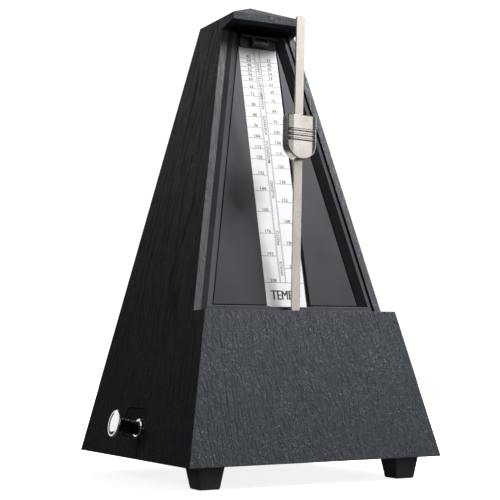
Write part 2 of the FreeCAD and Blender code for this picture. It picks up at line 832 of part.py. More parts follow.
def make_barrel():
    angle = 180 + size("barrel_mesh_angle") + 180 / size("barrel_teeth")
    bore = "winding_radius + running_gap"
    node("barrel_gear", put(gear("barrel_teeth", bore, "3", angle), -14, BARREL_Y, BARREL_Z))
    drum = cylinder(-11, BARREL_Y, BARREL_Z, "barrel_radius", 14, X_AXIS)
    hollow = cylinder(-12, BARREL_Y, BARREL_Z, "barrel_radius - barrel_wall", 16, X_AXIS)
    node("barrel_drum", cut(drum, hollow))
    cover = cylinder(3, BARREL_Y, BARREL_Z, "barrel_radius", 1, X_AXIS)
    cover_bore = cylinder(2, BARREL_Y, BARREL_Z, bore, 3, X_AXIS)
    node("barrel_cover", cut(cover, cover_bore))
    coil = cylinder(-10.6, BARREL_Y, BARREL_Z, "barrel_radius - barrel_wall - 0.2", 13.2, X_AXIS)
    core = cylinder(-11, BARREL_Y, BARREL_Z, 7, 14, X_AXIS)
    node("mainspring", cut(coil, core))


def make_second():
    wheel_phase = size("escape_mesh_angle")
    pinion_phase = size("barrel_mesh_angle")
    arbor("second_arbor", -20.3, SECOND_Y, SECOND_Z, "arbor_radius", 40.6)
    wheel = gear("second_wheel_teeth", "arbor_radius", "2", wheel_phase)
    node("second_wheel", put(wheel, 11.5, SECOND_Y, SECOND_Z))
    pinion = gear("second_pinion_teeth", "arbor_radius", "5", pinion_phase)
    node("second_pinion", put(pinion, -15, SECOND_Y, SECOND_Z))


def make_escape():
    phase = 180 + size("escape_mesh_angle") + 180 / size("escape_pinion_teeth")
    arbor("escape_arbor", "crown_tip + crown_depth - 1.2", ESCAPE_Y, ESCAPE_Z, "fine_arbor_radius", 13)
    pinion = gear("escape_pinion_teeth", "fine_arbor_radius", "3.4", phase)
    node("escape_pinion", put(pinion, 10.9, ESCAPE_Y, ESCAPE_Z))
    drive = gear("beat_wheel_teeth", "fine_arbor_radius", "1.5", 90)
    node("beat_drive_wheel", put(drive, 15, ESCAPE_Y, ESCAPE_Z))
    drum = cylinder("crown_tip", ESCAPE_Y, ESCAPE_Z, "crown_radius", "crown_depth", X_AXIS)
    rim = "crown_radius - crown_rim"
    inside = cylinder("crown_tip - 1", ESCAPE_Y, ESCAPE_Z, rim, "crown_depth - 0.2", X_AXIS)
    bore = cylinder("crown_tip", ESCAPE_Y, ESCAPE_Z, "fine_arbor_radius", "crown_depth + 1", X_AXIS)
    notches = []
    count = int(size("crown_teeth"))
    for i in range(count):
        turn = FreeCAD.Rotation(FreeCAD.Vector(1, 0, 0), 360 * i / count)
        notch = box("crown_tip - 1", ESCAPE_Y, ESCAPE_Z, 3, "crown_radius + 1", 1.7, turn)
        notches.append(notch)
    node("escape_wheel", cut(drum, inside, bore, *notches))


def make_beat():
    """The bell's cam drum: four rows of lobes, one row for each pull-rod setting."""
    phase = 270 + 180 / size("beat_pinion_teeth")
    arbor("beat_arbor", -27.4, BEAT_Y, BEAT_Z, "fine_arbor_radius", 47.7)
    pinion = gear("beat_pinion_teeth", "fine_arbor_radius", "2.4", phase)
    node("beat_pinion", put(pinion, 14.6, BEAT_Y, BEAT_Z))
    rows = []
    for i, lobes in enumerate((2, 3, 4, 6)):
        ring = tooth_ring(lobes, 3.2, 4.8, 0.3 * lobes / 2, 0.08 * lobes, 180)
        row = toothed(ring, "fine_arbor_radius", "1.5")
        rows.append(put(row, -21.3 - 1.5 * (i + 1), BEAT_Y, BEAT_Z))
    node("beat_cam", fuse(*rows))


# ---------------------------------------------------------------- click, bell and hammer

CLICK_Y = f"({BARREL_Y} - 11.6)"
CLICK_Z = f"({BARREL_Z} + 9.3)"


def make_click():
    """The pawl over the ratchet wheel, its pivot screw, and the spring that presses it."""
    x = "plate_inner + frame_plate + 0.6"
    offsets = [(-2.8, 7.7), (-10.0, 7.1), (-14.6, 7.2), (-14.4, 11.9), (-9.2, 12.1), (-3.4, 9.5)]
    outline = [(f"{BARREL_Y} + ({y})", f"{BARREL_Z} + {z}") for y, z in offsets]
    hole = (CLICK_Y, CLICK_Z, "small_screw + running_gap")
    node("click", flat_plate("YZ_Plane", outline, "1.8", [hole], lift=x))
    head_face = "plate_inner + frame_plate + 4"
    pivot = screw(head_face, CLICK_Y, CLICK_Z, "x", "small_screw", "small_head", "1.2", "2.8", 1)
    node("click_screw", pivot)
    post_y = f"{CLICK_Y} - 6.2"
    stop = cylinder("plate_inner + frame_plate", post_y, CLICK_Z, 0.6, 2.9, X_AXIS)
    rings = [
        torus(f"plate_inner + frame_plate + 0.5 + {0.45 * i}", post_y, CLICK_Z, 0.85, 0.28, X_AXIS)
        for i in range(3)
    ]
    leg = cylinder("plate_inner + frame_plate + 1.4", post_y, f"{CLICK_Z} + 0.85", 0.28, 2.8, Y_AXIS)
    node("click_spring", fuse(stop, *rings, leg))


def make_bell():
    z = "foot_height + bell_rise"
    outer = document.addObject("Part::Sphere", "Dome")
    bind(outer, Radius="bell_radius", Angle1=0)
    put(outer, "bell_x", "bell_y", z)
    inner = document.addObject("Part::Sphere", "DomeInside")
    bind(inner, Radius="bell_radius - bell_wall")
    put(inner, "bell_x", "bell_y", z)
    hole = cylinder("bell_x", "bell_y", z, 1.6, 20)
    node("bell", cut(outer, inner, hole))
    floor = "foot_height + base_thickness"
    top = f"{z} + bell_radius - bell_wall"
    crown = "bell_rise - base_thickness + bell_radius"
    post = cylinder("bell_x", "bell_y", floor, 2.6, f"{crown} - bell_wall - 0.35")
    stud = cylinder("bell_x", "bell_y", floor, 1.5, f"{crown} + 2.6")
    foot = cylinder("bell_x", "bell_y", floor, 5, 1.5)
    node("bell_post", fuse(post, stud, foot))
    nut = document.addObject("Part::Prism", "Hexagon")
    nut.Polygon = 6
    bind(nut, Circumradius=3.1, Height=2.0)
    put(nut, "bell_x", "bell_y", f"{top} + bell_wall")
    nut_bore = cylinder("bell_x", "bell_y", top, 1.5, 6)
    node("bell_nut", cut(nut, nut_bore))


def make_hammer():
    x = "-plate_inner - frame_plate - 4.5"
    z = "foot_height + hammer_rise"
    reach = [
        ("-18", f"{z} - 0.6"),
        ("hammer_y", f"{z} - 2.6"),
        ("22.6", f"{z} - 8.7"),
        ("25.4", f"{z} - 7.6"),
        ("25.2", f"{z} - 5.4"),
        ("hammer_y", f"{z} + 2.6"),
        ("-18", f"{z} + 1.4"),
    ]
    hole = ("hammer_y", z, "small_screw + running_gap")
    arm = flat_plate("YZ_Plane", reach, "1.5", [hole], lift=x)
    head = cylinder("-31", "bell_y", f"{z} - 7", 2, "8", X_AXIS)
    node("hammer", fuse(arm, head))
    face = "-plate_inner - frame_plate - 6"
    node("hammer_pivot", screw(face, "hammer_y", z, "x", "small_screw", "small_head", "1.2", "4.8", -1))
    rings = [
        torus(f"-plate_inner - frame_plate - 0.4 - {0.45 * i}", "hammer_y", z, 1.6, 0.28, X_AXIS)
        for i in range(4)
    ]
    leg = cylinder("-plate_inner - frame_plate - 0.4", "hammer_y", f"{z} + 1.6", 0.28, 8, Y_AXIS)
    node("hammer_spring", fuse(*rings, leg))


# ---------------------------------------------------------------- pendulum

PIVOT_Z = ESCAPE_Z


def on_pendulum(item, turn=None):
    """Lean a piece that is drawn upright about the pivot, with the pivot as its origin."""
    lean = FreeCAD.Rotation(FreeCAD.Vector(0, 1, 0), size("rod_lean"))
    return put(item, 0, 0, PIVOT_Z, lean.multiply(turn) if turn else lean)


def upright(points, front, thickness, holes=()):
    """A flat piece of the pendulum in a plane facing the front, from y = front back."""
    return flat_plate("XZ_Plane", points, thickness, holes, lift=f"-({front}) - ({thickness})")


def make_pendulum():
    node("pendulum_arbor", cylinder(0, "-39.6", PIVOT_Z, "arbor_radius", 29.4, Y_AXIS))
    front = "pivot_y - rod_thickness / 2"
    half = "rod_width / 2"
    outline = [
        (f"-{half}", "-rod_tail"),
        (half, "-rod_tail"),
        (half, "rod_length - 0.6"),
        (f"{half} - 0.6", "rod_length"),
        (f"-{half} + 0.6", "rod_length"),
        (f"-{half}", "rod_length - 0.6"),
    ]
    rivet_holes = [(0, f"-{place}", 1.25) for place in (22, 31)]
    rod = upright(outline, front, "rod_thickness", [(0, 0, "arbor_radius"), *rivet_holes])
    node("pendulum_rod", on_pendulum(rod))

    square = rectangle("-4", "-4", "4", "4")
    collar = upright(square, "pivot_y + rod_thickness / 2", "1.8", [(0, 0, "arbor_radius")])
    node("rod_collar", on_pendulum(collar))

    thickness = "weight_thickness"
    sector = document.addObject("Part::Cylinder", "Sector")
    bind(sector, Radius="weight_radius", Height=thickness, Angle="weight_spread")
    core = document.addObject("Part::Cylinder", "SectorCore")
    bind(core, Radius="weight_inner", Height=thickness)
    start = 90 - size("weight_spread") / 2
    turn = Y_AXIS.multiply(FreeCAD.Rotation(FreeCAD.Vector(0, 0, 1), start))
    weight = cut(sector, core)
    place = FreeCAD.Placement(FreeCAD.Vector(0, size("pivot_y") - 0.5 - size(thickness), 0), turn)
    for item in (sector, core):
        item.Placement = place
    rivets_bore = []
    rivets = []
    start_y = "pivot_y - rod_thickness / 2 - weight_thickness"
    rivet_length = "weight_thickness + rod_thickness + 0.4"
    for drop in (22, 31):
        rivets_bore.append(cylinder(0, f"{start_y} - 1", f"-{drop}", 1.25, 20, Y_AXIS))
        rivets.append(
            fuse(
                cylinder(0, start_y, f"-{drop}", 1.25, rivet_length, Y_AXIS),
                cylinder(0, "pivot_y + rod_thickness / 2", f"-{drop}", 2.0, 0.5, Y_AXIS),
            )
        )
    node("counterweight", on_pendulum(cut(weight, *rivets_bore)))
    node("weight_rivets", on_pendulum(group(*rivets)))

    pallets = []
    for y, side in (("escape_y - 7", 1), ("escape_y + 7", -1)):
        blade = box("arbor_radius - 0.5", f"{y} - 1.1", -0.4, "pallet_reach - arbor_radius + 0.5", 2.2, 0.8)
        ring = cylinder(0, f"{y} - 1.1", 0, "arbor_radius + 0.9", 2.2, Y_AXIS)
        pallet = cut(fuse(blade, ring), cylinder(0, f"{y} - 2", 0, "arbor_radius", 4, Y_AXIS))
        swing = FreeCAD.Rotation(FreeCAD.Vector(0, 1, 0), -side * size("pallet_spread"))
        pallets.append(on_pendulum(pallet, swing))
    node("pallets", group(*pallets))


def make_bob():
    """The sliding weight: a shield with a round foot, bevelled sides and ribs."""
    body = new_body()
    sketch = sketch_on(body, "XZ_Plane", "-pivot_y - bob_back")
    half = "bob_width / 2"
    low = "bob_top - bob_height"
    add_polygon(sketch, rectangle(f"-{half}", low, half, "bob_top"))
    block = pad(body, sketch, "bob_front + bob_back")
    document.recompute()
    foot_edges = []
    for i, edge in enumerate(block.Shape.Edges, start=1):
        bounds = edge.BoundBox
        along_depth = bounds.XLength < 0.01 and bounds.ZLength < 0.01
        if along_depth and bounds.ZMax < size("bob_top") - 1:
            foot_edges.append(f"Edge{i}")
    foot = body.newObject("PartDesign::Fillet", "RoundFoot")
    foot.Base = (block, foot_edges)
    bind(foot, Radius="bob_round")
    document.recompute()
    face_y = foot.Shape.BoundBox.YMin
    side_edges = [
        f"Edge{i}"
        for i, edge in enumerate(foot.Shape.Edges, start=1)
        if abs(edge.BoundBox.YMax - face_y) < 0.01 and edge.BoundBox.ZMin < size("bob_top") - 1
    ]
    bevel = body.newObject("PartDesign::Chamfer", "Bevel")
    bevel.Base = (foot, side_edges)
    bevel.ChamferType = "Two distances"
    bind(bevel, Size="bob_bevel_depth", Size2="bob_bevel_width")
    document.recompute()
    rod_front = "pivot_y - rod_thickness / 2 - 0.1"
    slot = box("-rod_width / 2 - 0.1", rod_front, low, "rod_width + 0.2", 10, "bob_height")
    hollow = box("-4.6", "pivot_y - bob_front + bob_wall", "bob_top - 14", 9.2, 10, 12)
    spring_seat = box("-5.2", "pivot_y + rod_thickness / 2 + 0.05", "bob_top - 15", 10.4, 3, 9)
    ribs = []
    for i in range(3):
        height = f"bob_top - rib_drop - {i} * rib_pitch"
        start = "-bob_width / 2 + bob_bevel_width"
        ribs.append(cylinder(start, "pivot_y - bob_front", height, "rib_radius", "bob_width - 2 * bob_bevel_width", X_AXIS))
    node("bob", on_pendulum(cut(fuse(body, *ribs), slot, hollow, spring_seat)))
    leaf = box("-5.1", "pivot_y + rod_thickness / 2 + 0.07", "bob_top - 14.8", 10.2, 0.4, 8.6)
    node("bob_spring", on_pendulum(group(leaf)))


make_case_shell()
make_scale_panel()
make_scale_plate()
make_rod_catch()
make_base_plate()
make_feet()
make_foot_screws()
make_selector()
make_winding()
make_frame_plates()
make_spacers()
make_frame_screws()
make_bearings()
make_barrel()
make_second()
make_escape()
make_beat()
make_click()
make_bell()
make_hammer()
make_pendulum()
make_bob()
document.recompute()

for item in document.Objects:
    if "Invalid" in item.State or "Error" in item.State:
        raise RuntimeError(f"{item.Label} ({item.Name}) did not build: {item.State}")
for item in nodes:
    shape = item.Shape
    if shape.isNull() or not shape.isValid() or shape.Volume < 0.1:
        raise RuntimeError(f"{item.Label} has no valid solid")

os.makedirs("parts", exist_ok=True)
for old in os.listdir("parts"):
    os.remove(os.path.join("parts", old))
for item in nodes:
    item.Shape.exportStep(f"parts/{item.Label}.step")
    print(f"{item.Label}: {item.Shape.Volume / 1000:.2f} cm3")
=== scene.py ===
import json
import math

import bmesh
import bpy
from mathutils import Matrix, Vector


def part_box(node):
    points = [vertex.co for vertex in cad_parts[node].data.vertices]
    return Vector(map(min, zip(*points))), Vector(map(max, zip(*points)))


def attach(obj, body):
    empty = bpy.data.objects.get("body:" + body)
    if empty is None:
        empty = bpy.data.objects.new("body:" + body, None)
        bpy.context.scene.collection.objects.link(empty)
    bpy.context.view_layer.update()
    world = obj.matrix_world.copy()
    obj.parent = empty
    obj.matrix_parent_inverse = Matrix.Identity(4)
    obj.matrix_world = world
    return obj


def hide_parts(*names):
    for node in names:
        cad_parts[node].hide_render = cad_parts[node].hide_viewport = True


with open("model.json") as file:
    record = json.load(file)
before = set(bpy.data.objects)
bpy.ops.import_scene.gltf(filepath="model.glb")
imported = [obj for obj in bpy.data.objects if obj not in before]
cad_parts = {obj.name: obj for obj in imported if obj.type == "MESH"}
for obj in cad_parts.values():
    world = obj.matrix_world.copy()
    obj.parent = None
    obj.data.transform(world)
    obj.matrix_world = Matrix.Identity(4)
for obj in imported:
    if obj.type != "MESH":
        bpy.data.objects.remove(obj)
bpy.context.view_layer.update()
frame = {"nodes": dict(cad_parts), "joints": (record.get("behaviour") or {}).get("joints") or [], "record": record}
NODES = frame["nodes"]
MM = 0.001

# ------------------------------------------------------------------ node helpers


def material(name, rough=0.5, metal=0.0, colour=(0.5, 0.5, 0.5), **sockets):
    m = bpy.data.materials.new(name)
    m.use_nodes = True
    nt = m.node_tree
    shader = nt.nodes["Principled BSDF"]
    shader.inputs["Base Color"].default_value = (*colour, 1)
    shader.inputs["Roughness"].default_value = rough
    shader.inputs["Metallic"].default_value = metal
    for key, value in sockets.items():
        shader.inputs[key.replace("_", " ")].default_value = value
    return m, nt, shader


def add(nt, kind, props=None, **inputs):
    """A new node; i0, i1 ... are input sockets by number, other keywords by name."""
    n = nt.nodes.new(kind)
    for key, value in (props or {}).items():
        setattr(n, key, value)
    for key, value in inputs.items():
        indexed = key[0] == "i" and key[1:].isdigit()
        socket = n.inputs[int(key[1:]) if indexed else key.replace("_", " ")]
        if isinstance(value, bpy.types.NodeSocket):
            nt.links.new(value, socket)
        else:
            socket.default_value = value
    return n


def math_node(nt, operation, a, b=0.0, c=0.0):
    return add(nt, "ShaderNodeMath", {"operation": operation}, i0=a, i1=b, i2=c).outputs[0]


def object_mm(nt):
    """The row frame's coordinates in millimetres."""
    place = add(nt, "ShaderNodeTexCoord").outputs["Object"]
    return add(nt, "ShaderNodeVectorMath", {"operation": "SCALE"}, i0=place, Scale=1000.0).outputs[0]


def stretched(nt, vector, sx, sy, sz):
    return add(nt, "ShaderNodeVectorMath", {"operation": "MULTIPLY"}, i0=vector, i1=(sx, sy, sz)).outputs[0]


def noise(nt, vector, scale=1.0, detail=2.0, rough=0.5, distortion=0.0):
    n = add(nt, "ShaderNodeTexNoise", None, Vector=vector, Scale=scale, Detail=detail,
            Roughness=rough, Distortion=distortion)
    return n.outputs["Fac"]


def span(nt, value, low, high, to_low=0.0, to_high=1.0, smooth=False):
    kind = "SMOOTHSTEP" if smooth else "LINEAR"
    n = add(nt, "ShaderNodeMapRange", {"interpolation_type": kind, "clamp": True},
            i0=value, i1=low, i2=high, i3=to_low, i4=to_high)
    return n.outputs[0]


def blend(nt, fac, a, b):
    n = add(nt, "ShaderNodeMix", {"data_type": "RGBA"}, i0=fac)
    for index, value in ((6, a), (7, b)):
        if isinstance(value, bpy.types.NodeSocket):
            nt.links.new(value, n.inputs[index])
        else:
            n.inputs[index].default_value = (*value, 1)
    return n.outputs[2]


def bevel(nt, radius):
    return add(nt, "ShaderNodeBevel", {"samples": 4}, Radius=radius * MM).outputs[0]


def bump(nt, height, distance, strength=1.0, normal=None):
    n = add(nt, "ShaderNodeBump", None, Height=height, Distance=distance * MM, Strength=strength)
    if normal is not None:
        nt.links.new(normal, n.inputs["Normal"])
    return n.outputs[0]


def tinted(colour, factor):
    return tuple(c * factor for c in colour)


# ------------------------------------------------------------------ materials

CASE = {"half": 60.0, "lean": 0.2159, "foot": 9.6, "eave": 196.9, "brow": 191.5}


def wood_grain_plastic():
    """Black moulded plastic with an embossed wood grain on its outer faces."""
    m, nt, shader = material("case_wood_grain", rough=0.46, colour=(0.04, 0.044, 0.05),
                             Specular_IOR_Level=0.42, Specular_Tint=(0.88, 0.95, 1.0, 1.0))
    where = object_mm(nt)
    xyz = add(nt, "ShaderNodeSeparateXYZ", None, Vector=where)
    x, y, z = xyz.outputs
    facing = add(nt, "ShaderNodeTexCoord").outputs["Normal"]
    normal = add(nt, "ShaderNodeSeparateXYZ", None, Vector=facing)
    nx, ny, nz = normal.outputs
    sideways = math_node(nt, "GREATER_THAN", math_node(nt, "ABSOLUTE", nx), math_node(nt, "ABSOLUTE", ny))
    across = add(nt, "ShaderNodeMix", {"data_type": "FLOAT"}, i0=sideways, i2=x, i3=y).outputs[0]
    seed = math_node(nt, "MULTIPLY_ADD", math_node(nt, "SIGN", nx), 37.0,
                     math_node(nt, "MULTIPLY", math_node(nt, "SIGN", ny), 91.0))
    seed = math_node(nt, "MULTIPLY_ADD", sideways, 210.0, seed)
    plane = add(nt, "ShaderNodeCombineXYZ", None, X=across, Y=z, Z=seed).outputs[0]

    # growth rings: contour lines of a tall, slowly changing field
    field = noise(nt, stretched(nt, plane, 0.022, 0.0045, 0.013), detail=1.5, rough=0.45, distortion=0.15)
    wobble = noise(nt, stretched(nt, plane, 0.14, 0.030, 0.02), detail=2.0)
    ring = math_node(nt, "MULTIPLY_ADD", across, 0.17, math_node(nt, "MULTIPLY", field, 17.0))
    ring = math_node(nt, "MULTIPLY_ADD", wobble, 1.2, ring)
    wave = math_node(nt, "SINE", math_node(nt, "MULTIPLY", ring, 6.2832))
    line = span(nt, wave, 0.45, 0.98, smooth=True)
    patchy = span(nt, noise(nt, stretched(nt, plane, 0.35, 0.045, 0.05), detail=2.0), 0.36, 0.60)
    line = math_node(nt, "MULTIPLY", line, patchy)
    line = math_node(nt, "MULTIPLY", line, math_node(nt, "MULTIPLY_ADD", sideways, 0.75, 0.25))
    # open pores: short strokes up the slope
    pore_field = noise(nt, stretched(nt, plane, 1.2, 0.13, 0.2), detail=3.0, rough=0.6, distortion=0.5)
    pore = span(nt, pore_field, 0.57, 0.68, smooth=True)
    streak = noise(nt, stretched(nt, plane, 0.55, 0.055, 0.1), detail=4.0, rough=0.68, distortion=0.7)
    depth = math_node(nt, "MAXIMUM", math_node(nt, "MULTIPLY", line, 0.9),
                      math_node(nt, "MULTIPLY", pore, math_node(nt, "MULTIPLY_ADD", sideways, 0.62, 0.13)))

    # the grain is only on the outside of the pyramid and on its roof
    reach = math_node(nt, "MAXIMUM", math_node(nt, "ABSOLUTE", x), math_node(nt, "ABSOLUTE", y))
    rise = math_node(nt, "SUBTRACT", z, CASE["foot"])
    surface = math_node(nt, "MULTIPLY_ADD", rise, -CASE["lean"], CASE["half"])
    outside = span(nt, math_node(nt, "SUBTRACT", surface, reach), 0.05, 0.12, 1.0, 0.0)
    roof = math_node(nt, "GREATER_THAN", rise, CASE["eave"] - 0.02)
    outside = math_node(nt, "MAXIMUM", outside, roof)
    depth = math_node(nt, "MULTIPLY", depth, outside)

    tone = span(nt, streak, 0.32, 0.68)
    mottle = noise(nt, stretched(nt, plane, 0.62, 0.20, 0.3), detail=3.0, rough=0.7, distortion=1.2)
    tone = math_node(nt, "MULTIPLY_ADD", tone, 0.35, span(nt, mottle, 0.34, 0.66, 0.0, 0.65))
    body = blend(nt, tone, (0.014, 0.018, 0.023), (0.039, 0.045, 0.053))
    # painted shade: the side faces are blended half way to a darker, bluer tone than the front and back
    body = blend(nt, math_node(nt, "MULTIPLY", sideways, 0.5), body, (0.012, 0.023, 0.031))
    cover = math_node(nt, "MULTIPLY", depth, math_node(nt, "MULTIPLY_ADD", sideways, 0.28, 0.60))
    body = blend(nt, cover, body, (0.008, 0.009, 0.011))
    # painted shade: the overhang and the roof are painted darker than the long faces
    crown = math_node(nt, "MULTIPLY", math_node(nt, "GREATER_THAN", rise, CASE["brow"]),
                      math_node(nt, "SUBTRACT", 1.0, sideways))
    body = blend(nt, math_node(nt, "MULTIPLY", crown, 0.55), body, (0.007, 0.008, 0.010))
    nt.links.new(span(nt, crown, 0.0, 1.0, 0.42, 0.24), shader.inputs["Specular IOR Level"])
    # the rim of the opening is smooth; its level parts are painted darker, a painted shade for the undersides
    level = math_node(nt, "GREATER_THAN", math_node(nt, "ABSOLUTE", nz), 0.9)
    rim = blend(nt, level, (0.060, 0.062, 0.070), (0.026, 0.028, 0.032))
    inner = blend(nt, outside, rim, body)
    # painted highlights: tiny bright points painted into the colour where the moulding would catch the light, in
    # loose patches
    point = span(nt, noise(nt, where, scale=1.5, detail=1.0), 0.635, 0.72)
    cluster = span(nt, noise(nt, stretched(nt, where, 0.075, 0.075, 0.05), detail=2.0), 0.42, 0.62)
    glint_mask = math_node(nt, "MULTIPLY", math_node(nt, "MULTIPLY", point, cluster), outside)
    glinted_colour = blend(nt, math_node(nt, "MULTIPLY", glint_mask, 0.8), inner, (0.20, 0.22, 0.24))
    nt.links.new(glinted_colour, shader.inputs["Base Color"])
    rough = math_node(nt, "MULTIPLY_ADD", depth, 0.22, span(nt, streak, 0.3, 0.7, 0.40, 0.52))
    nt.links.new(rough, shader.inputs["Roughness"])
    fine = noise(nt, stretched(nt, where, 2.0, 2.0, 1.5), detail=3.0, rough=0.75)
    sparkle = math_node(nt, "MULTIPLY", math_node(nt, "MULTIPLY_ADD", outside, 0.8, 0.2), fine)
    swell = math_node(nt, "MULTIPLY_ADD", mottle, 1.2, math_node(nt, "MULTIPLY", streak, 0.35))
    relief = math_node(nt, "MULTIPLY_ADD", depth, -1.0, swell)
    normal_in = bump(nt, relief, 0.42, 0.9, bevel(nt, 0.5))
    nt.links.new(bump(nt, sparkle, 0.16, 1.0, normal_in), shader.inputs["Normal"])
    return m


def moulded_plastic(name, colour, rough, grit=1.4, relief=0.03, edge=0.25, spread=0.25, **sockets):
    """Moulded plastic: a fine spark-eroded surface, slight tone changes and softened edges."""
    m, nt, shader = material(name, rough=rough, colour=colour, **sockets)
    where = object_mm(nt)
    cloud = noise(nt, where, scale=0.06, detail=3.0)
    grain = noise(nt, where, scale=grit, detail=3.0, rough=0.65)
    tone = math_node(nt, "MULTIPLY_ADD", grain, 0.5, math_node(nt, "MULTIPLY", cloud, 0.5))
    tone = span(nt, tone, 0.32, 0.68)
    low, high = tinted(colour, 1 - spread), tinted(colour, 1 + spread)
    nt.links.new(blend(nt, tone, low, high), shader.inputs["Base Color"])
    nt.links.new(span(nt, cloud, 0.3, 0.7, rough * 0.88, min(1.0, rough * 1.12)), shader.inputs["Roughness"])
    nt.links.new(bump(nt, grain, relief, 0.6, bevel(nt, edge)), shader.inputs["Normal"])
    return m


def worked_metal(name, colour, rough, stretch=(1.0, 1.0, 1.0), lines=1.0, relief=0.01, edge=0.2,
                 tarnish=None, metal=1.0, **sockets):
    """Metal with tool marks along one direction, faint stains and softened edges."""
    m, nt, shader = material(name, rough=rough, metal=metal, colour=colour, **sockets)
    where = object_mm(nt)
    marks = noise(nt, stretched(nt, where, *stretch), scale=lines, detail=4.0, rough=0.6)
    stain = noise(nt, where, scale=0.11, detail=4.0, rough=0.6)
    worn = tarnish or tinted(colour, 0.72)
    nt.links.new(blend(nt, span(nt, stain, 0.42, 0.72), colour, worn), shader.inputs["Base Color"])
    mixed = math_node(nt, "MULTIPLY_ADD", marks, 0.6, math_node(nt, "MULTIPLY", stain, 0.4))
    nt.links.new(span(nt, mixed, 0.3, 0.7, rough * 0.65, min(1.0, rough * 1.4)), shader.inputs["Roughness"])
    nt.links.new(bump(nt, marks, relief, 0.5, bevel(nt, edge)), shader.inputs["Normal"])
    return m


def printed_plate():
    """White lacquered plate with a faint orange-peel surface."""
    m, nt, shader = material("plate_white", rough=0.38, colour=(0.86, 0.87, 0.885))
    where = object_mm(nt)
    cloud = noise(nt, where, scale=0.05, detail=3.0)
    peel = noise(nt, where, scale=0.9, detail=2.0)
    nt.links.new(blend(nt, span(nt, cloud, 0.3, 0.7), (0.84, 0.85, 0.87), (0.89, 0.90, 0.91)),
                 shader.inputs["Base Color"])
    nt.links.new(span(nt, peel, 0.3, 0.7, 0.33, 0.43), shader.inputs["Roughness"])
    nt.links.new(bump(nt, peel, 0.01, 0.4, bevel(nt, 0.15)), shader.inputs["Normal"])
    return m


def printing_ink():
    """Dark screen-printed ink, a little uneven."""
    m, nt, shader = material("scale_ink", rough=0.5, colour=(0.03, 0.03, 0.035))
    where = object_mm(nt)
    cover = noise(nt, where, scale=2.2, detail=3.0)
    nt.links.new(blend(nt, span(nt, cover, 0.35, 0.7), (0.018, 0.018, 0.022), (0.06, 0.06, 0.068)),
                 shader.inputs["Base Color"])
    return m


MATERIALS = {
    "case_plastic": wood_grain_plastic(),
    "panel_plastic": moulded_plastic("panel_satin", (0.042, 0.044, 0.050), 0.36, grit=1.1, relief=0.02,
                                     edge=0.3, spread=0.08, Specular_IOR_Level=0.24,
                                     Specular_Tint=(0.9, 0.95, 1.0, 1.0)),
    "scale_white": printed_plate(),
    "catch_plastic": moulded_plastic("catch_black", (0.030, 0.031, 0.034), 0.38, edge=0.3),
    "base_plastic": moulded_plastic("base_black", (0.030, 0.031, 0.034), 0.55, grit=0.9),
    "foot_rubber": moulded_plastic("foot_black", (0.100, 0.112, 0.125), 0.48, grit=1.2, edge=0.5),
    "screw_steel": worked_metal("screw_steel", (0.60, 0.60, 0.61), 0.28, (3.0, 3.0, 3.0)),
    "selector_plastic": moulded_plastic("selector_black", (0.014, 0.014, 0.016), 0.22, grit=1.6,
                                        relief=0.01, edge=0.18),
    "chrome_trim": worked_metal("polished_chrome", (0.86, 0.86, 0.87), 0.07, (2.0, 2.0, 2.0),
                                relief=0.002, edge=0.3, tarnish=(0.80, 0.80, 0.81)),
    "arbor_steel": worked_metal("ground_steel", (0.62, 0.62, 0.63), 0.24, (0.2, 4.0, 4.0)),
    "frame_steel": worked_metal("plated_frame", (0.66, 0.63, 0.55), 0.34, (3.0, 3.0, 0.25),
                                tarnish=(0.50, 0.47, 0.38)),
    "frame_aluminium": worked_metal("die_cast_bar", (0.72, 0.72, 0.73), 0.42, (1.2, 1.2, 1.2), relief=0.03),
    "spring_steel": worked_metal("blued_spring", (0.30, 0.33, 0.42), 0.22, (0.3, 3.0, 3.0),
                                 tarnish=(0.20, 0.22, 0.30)),
    "brass_parts": worked_metal("stamped_brass", (0.80, 0.62, 0.30), 0.26, (3.0, 0.8, 3.0),
                                tarnish=(0.56, 0.42, 0.20)),
    "bell_steel": worked_metal("nickelled_bell", (0.78, 0.76, 0.73), 0.12, (2.0, 2.0, 2.0), relief=0.004),
    "cam_plastic": moulded_plastic("nylon_cam", (0.72, 0.71, 0.66), 0.42, spread=0.05,
                                   Subsurface_Weight=0.08),
    "rod_nickel": worked_metal("rod_nickel", (0.80, 0.745, 0.68), 0.30, (5.0, 1.0, 0.12), lines=1.4,
                               relief=0.012, edge=0.15, tarnish=(0.66, 0.60, 0.54)),
    "bob_nickel": worked_metal("bob_nickel", (0.80, 0.76, 0.70), 0.25, (0.4, 0.4, 3.0), lines=1.2,
                               relief=0.002, edge=0.35, tarnish=(0.66, 0.62, 0.56)),
    "weight_brass": worked_metal("weight_brass", (0.52, 0.45, 0.32), 0.40, (0.8, 0.8, 0.8), relief=0.03,
                                 tarnish=(0.34, 0.29, 0.21)),
}
slot_of = {row["node"]: row["material_slot"] for row in frame["record"]["subparts"]}
for name, item in NODES.items():
    for place in item.material_slots:
        place.material = MATERIALS[slot_of[name]]

# ------------------------------------------------------------------ mesh helpers


def mesh_object(name, vertices, faces, mat, smooth=False):
    data = bpy.data.meshes.new(name)
    data.from_pydata([tuple(v) for v in vertices], [], faces)
    data.update()
    item = bpy.data.objects.new(name, data)
    bpy.context.scene.collection.objects.link(item)
    data.materials.append(mat)
    for polygon in data.polygons:
        polygon.use_smooth = smooth
    return item


